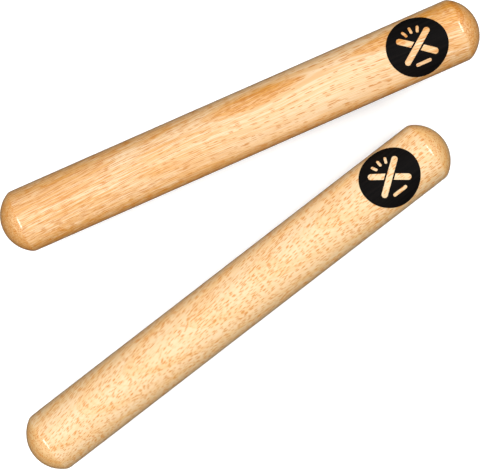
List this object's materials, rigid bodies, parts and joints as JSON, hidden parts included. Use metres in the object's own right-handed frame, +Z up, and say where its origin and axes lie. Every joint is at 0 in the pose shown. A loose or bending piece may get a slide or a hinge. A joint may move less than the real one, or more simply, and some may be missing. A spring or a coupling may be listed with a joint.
{
  "type": "claves",
  "caption": "Pair of solid round hardwood sticks with domed ends and a round printed badge near one end, struck together as percussion.",
  "frame": {"origin": "on the surface that the sticks lie on, under the middle of the pair's bounding box", "axes": "+X along the mean direction of the two sticks, towards their badges; +Z up, out of the badges"},
  "size_m": [0.233, 0.1036, 0.025],
  "materials": {
    "resting_wood": "pale straight-grained hardwood under clear gloss lacquer",
    "striking_wood": "pale hardwood with short open pores under clear gloss lacquer",
    "badge_ink": "black screen-printed ink under the lacquer, satin"
  },
  "bodies": {
    "resting_clave": {"resting_clave": "resting_wood", "resting_clave_badge": "badge_ink"},
    "striking_clave": {"striking_clave": "striking_wood", "striking_clave_badge": "badge_ink"}
  },
  "joints": [
    {"name": "striking_clave_lift", "type": "slide", "parent": "resting_clave", "child": "striking_clave", "axis": [0, 0, 1], "range_m": [0, 0.15]}
  ]
}
